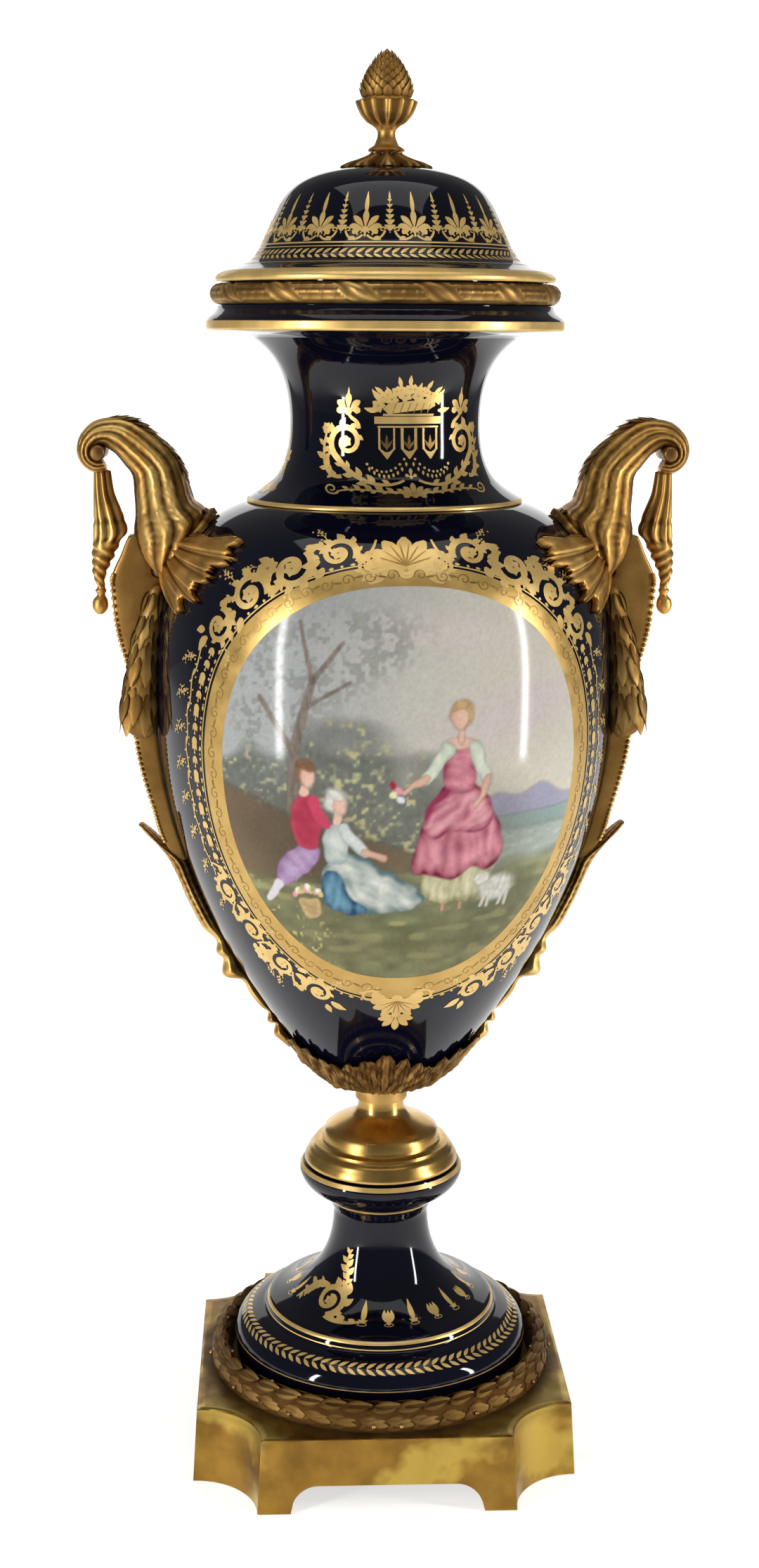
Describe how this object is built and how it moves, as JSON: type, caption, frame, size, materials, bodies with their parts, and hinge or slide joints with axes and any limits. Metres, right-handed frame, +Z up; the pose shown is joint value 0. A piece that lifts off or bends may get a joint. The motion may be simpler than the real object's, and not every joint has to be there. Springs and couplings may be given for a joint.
{
  "type": "mantel urn",
  "caption": "Tall covered urn of dark blue glazed porcelain with gilding and a painted panel, scrolled gilt bronze handles and a square bronze base. The lid lifts off.",
  "frame": {"origin": "on the floor under the middle of the square base", "axes": "+Z up; the painted front faces -Y; the handles stand out towards -X and +X"},
  "size_m": [0.3414, 0.257, 0.8],
  "materials": {
    "porcelain": "deep blue high gloss glaze with satin gilding",
    "cast_bronze": "cast, chased and gilt, satin, darker in the hollows",
    "turned_bronze": "turned and polished",
    "base_bronze": "cast, brown patina with rubbed bright patches"
  },
  "bodies": {
    "root": {"plinth": "base_bronze", "foot": "porcelain", "stem_collar": "turned_bronze", "leaf_cup": "cast_bronze", "body": "porcelain", "neck": "porcelain", "rim_ring": "cast_bronze", "lid": "porcelain", "finial_cap": "cast_bronze", "finial": "cast_bronze", "horn_left": "cast_bronze", "drape_left": "cast_bronze", "bracket_left": "cast_bronze", "garland_front_left": "cast_bronze", "garland_back_left": "cast_bronze", "lower_mount_left": "cast_bronze", "horn_right": "cast_bronze", "drape_right": "cast_bronze", "bracket_right": "cast_bronze", "garland_front_right": "cast_bronze", "garland_back_right": "cast_bronze", "lower_mount_right": "cast_bronze"}
  },
  "joints": []
}
